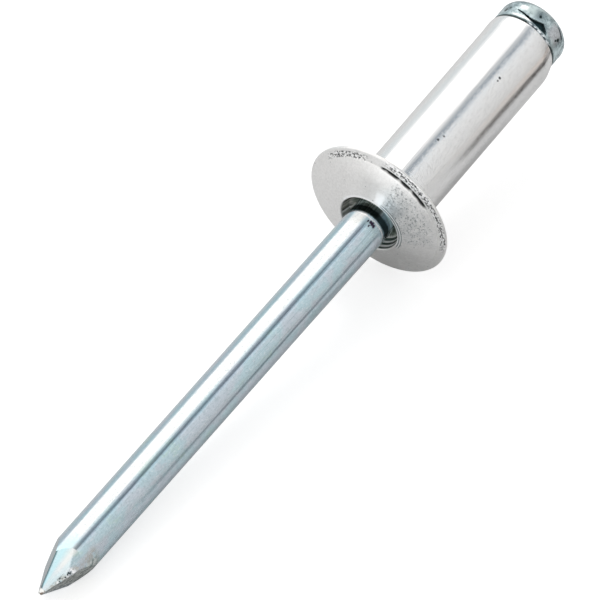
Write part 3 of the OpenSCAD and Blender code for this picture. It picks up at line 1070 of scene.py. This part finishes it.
def head_tint(metal, clouds):
    """Duller, clouded zinc head: painted shade, light, highlights and a dark reflection, and spots.
    """
    tint = metal.mix(metal.step(clouds, 0.36, 0.62), HEAD_DARK, HEAD_LIGHT)
    # Painted shade on the crown's left and middle, and painted light on its right
    for patch in (CROWN_LEFT_SHADE, CROWN_MID_SHADE, CROWN_RIGHT_LIGHT):
        tint = metal.painted(tint, patch)
    # The head's underside takes the painted shade of the gap
    joint = metal.step(metal.along, BODY_LEN + 0.12, BODY_LEN + 0.04)
    tint = metal.mix(joint, tint, joint_shade_tone(metal))
    # Painted dark reflection along the crown's edge, falling with the turn
    falling = metal.math("ADD", metal.along, metal.product(metal.turn, CROWN_REFLECTION_FALL))
    tint = metal.painted(tint, CROWN_DARK_REFLECTION, across=falling)
    # Painted white highlight low on the head, and a painted glint
    for patch in (HEAD_WHITE_HIGHLIGHT, HEAD_GLINT):
        tint = metal.painted(tint, patch)
    return metal.spotted(tint, HEAD_SPOTS, HEAD_SPOT_TONE)


def zinc():
    """Bright bluish zinc plating over drawn wire, duller on the head."""
    metal = Metal("zinc_plated_steel")
    lines = metal.clouds(1.0, 4.0, stretch=(12, 12, 0.3))
    clouds = metal.clouds(2.6, 5.0, 0.7)
    on_head = metal.step(metal.along, BODY_LEN - 0.05, BODY_LEN + 0.05)
    tint = metal.mix(on_head, wire_tint(metal), head_tint(metal, clouds))
    # Painted shade in the lap and on the point's flats, and the facing flat's painted highlight
    tint = metal.marked(tint, MANDREL_SHADE, MANDREL_HIGHLIGHT)
    metal.feed(metal.inputs["Base Color"], point_tint(metal, tint))

    on_right = metal.product(metal.step(metal.turn, 16, 28), DULL_GAIN)
    duller = metal.product(metal.step(metal.along, -16, -24), on_right)
    wire_rough = metal.math("ADD", metal.fitted(lines, 0.07, 0.20), duller)
    head_rough = metal.fitted(clouds, 0.20, 0.36)
    metal.feed(metal.inputs["Roughness"], metal.blend(on_head, wire_rough, head_rough))
    relief = metal.blend(on_head, lines, metal.product(clouds, 4.0))
    metal.feed(metal.inputs["Normal"], metal.bump(relief, 0.003))
    return metal.material


def bare_graph(name):
    """A material without nodes yet, and its graph."""
    material = bpy.data.materials.new(name)
    material.use_nodes = True
    material.node_tree.nodes.clear()
    return material, Graph(material.node_tree)


def panel_material():
    """A surface that glows in the panel's own colours."""
    material, graph = bare_graph("panel")
    glow = graph.node("ShaderNodeEmission")
    shade = graph.node("ShaderNodeAttribute", attribute_name="shade")
    graph.feed(glow.inputs["Color"], shade.outputs["Color"])
    output = graph.node("ShaderNodeOutputMaterial")
    graph.feed(output.inputs["Surface"], glow.outputs[0])
    return material


def panel(name, material, profile, stops):
    """A studio panel curved round the rivet's axis, which shows only in reflections.

    Its profile is a list of places along the axis and distances from it, in millimetres. Each
    stop is a turn in degrees and the panel's colour there, where 1 is the white of the studio.
    """
    turns = np.arange(stops[0][0], stops[-1][0] + PANEL_STEP, PANEL_STEP)
    colours = np.array([
        np.interp(turns, [stop[0] for stop in stops], [stop[1][channel] for stop in stops])
        for channel in range(3)
    ]).T
    corners = []
    for turn in turns:
        out = NEAR * math.cos(math.radians(turn)) + SIDE * math.sin(math.radians(turn))
        corners += [ORIGIN + (AXIS * along + out * away) * MM for along, away in profile]
    row = len(profile)
    faces = []
    for k in range(len(turns) - 1):
        for part in range(row - 1):
            low = k * row + part
            faces.append((low, low + 1, low + row + 1, low + row))
    mesh = bpy.data.meshes.new(name)
    mesh.from_pydata(corners, [], faces)
    shade = mesh.attributes.new("shade", "FLOAT_COLOR", "POINT")
    opaque = np.concatenate([np.repeat(colours, row, axis=0), np.ones((len(corners), 1))], axis=1)
    shade.data.foreach_set("color", opaque.astype(np.float32).ravel())
    mesh.materials.append(material)
    made = put(name, mesh)
    made.visible_camera = False
    made.visible_diffuse = False
    made.visible_shadow = False


def floor():
    """The pale floor: white to the eye where nothing shades it, and it keeps the shadow."""
    material, graph = bare_graph("floor_white")
    paint = graph.node("ShaderNodeBsdfDiffuse")
    paint.inputs["Color"].default_value = (FLOOR_TONE, FLOOR_TONE, FLOOR_TONE, 1)
    rays = graph.node("ShaderNodeLightPath").outputs
    mirrored = graph.math("MAXIMUM", rays["Is Glossy Ray"], rays["Is Transmission Ray"])
    seen = graph.product(rays["Is Camera Ray"], FLOOR_LIFT)
    lift = graph.math("ADD", seen, graph.product(mirrored, FLOOR_LIFT_MIRRORED))
    glow = graph.node("ShaderNodeEmission")
    graph.feed(glow.inputs["Strength"], lift)
    both = graph.node("ShaderNodeAddShader")
    graph.feed(both.inputs[0], paint.outputs[0])
    graph.feed(both.inputs[1], glow.outputs[0])
    output = graph.node("ShaderNodeOutputMaterial")
    graph.feed(output.inputs["Surface"], both.outputs[0])
    reach = FLOOR_HALF * MM
    corners = [(-reach, -reach, 0), (reach, -reach, 0), (reach, reach, 0), (-reach, reach, 0)]
    mesh = bpy.data.meshes.new("floor")
    mesh.from_pydata(corners, [], [(0, 1, 2, 3)])
    mesh.materials.append(material)
    made = put("floor", mesh)
    made.location.z = cad_box[0][2]


def world():
    """A white studio all round."""
    sky = bpy.data.worlds.new("studio")
    sky.use_nodes = True
    graph = Graph(sky.node_tree)
    back = sky.node_tree.nodes["Background"]
    rays = graph.node("ShaderNodeLightPath").outputs
    seen = graph.math("MAXIMUM", rays["Is Camera Ray"], rays["Is Glossy Ray"])
    seen = graph.math("MAXIMUM", seen, rays["Is Transmission Ray"])
    graph.feed(back.inputs["Strength"], graph.blend(seen, SKY_LEVEL, 1))
    back.inputs["Color"].default_value = (1, 1, 1, 1)
    bpy.context.scene.world = sky


def lamp(name, direction, away, size, watts):
    """A square soft lamp in this direction from the rivet, its distance and size in millimetres."""
    data = bpy.data.lights.new(name, "AREA")
    data.size = size * MM
    data.energy = watts
    made = put(name, data)
    towards = Vector(direction).normalized()
    made.location = ORIGIN + towards * away * MM
    made.rotation_euler = towards.to_track_quat("Z", "Y").to_euler()
    made.visible_glossy = False


def camera():
    """A long lens that looks down on the rivet, level with the horizon."""
    data = bpy.data.cameras.new("camera")
    data.lens = LENS
    data.sensor_width = SENSOR
    away = FIELD * LENS / SENSOR
    data.clip_start = CLIP[0] * away * MM
    data.clip_end = CLIP[1] * away * MM
    made = put("camera", data)
    widest = ORIGIN - AXIS * RIM_ROUND * MM
    middle = widest - (RIGHT * FLANGE_RIGHT + UP * FLANGE_UP) * MM
    made.location = middle - SIGHT * away * MM
    made.rotation_euler = SIGHT.to_track_quat("-Z", "Y").to_euler()
    bpy.context.scene.camera = made


camera()
world()
floor()
lamp("key", KEY_FROM, KEY_AWAY, KEY_SIZE, KEY_WATTS)
glow = panel_material()
panel("far_panel", glow, FAR_PROFILE, FAR_STOPS)
panel("low_panel", glow, LOW_PROFILE, LOW_STOPS)
panel("wire_panel", glow, WIRE_PROFILE, WIRE_STOPS)
panel("white_card", glow, CARD_PROFILE, CARD_STOPS)
rivet_body(aluminium())
mandrel(zinc())

bpy.context.view_layer.update()
bpy.context.scene.view_settings.view_transform = "Standard"
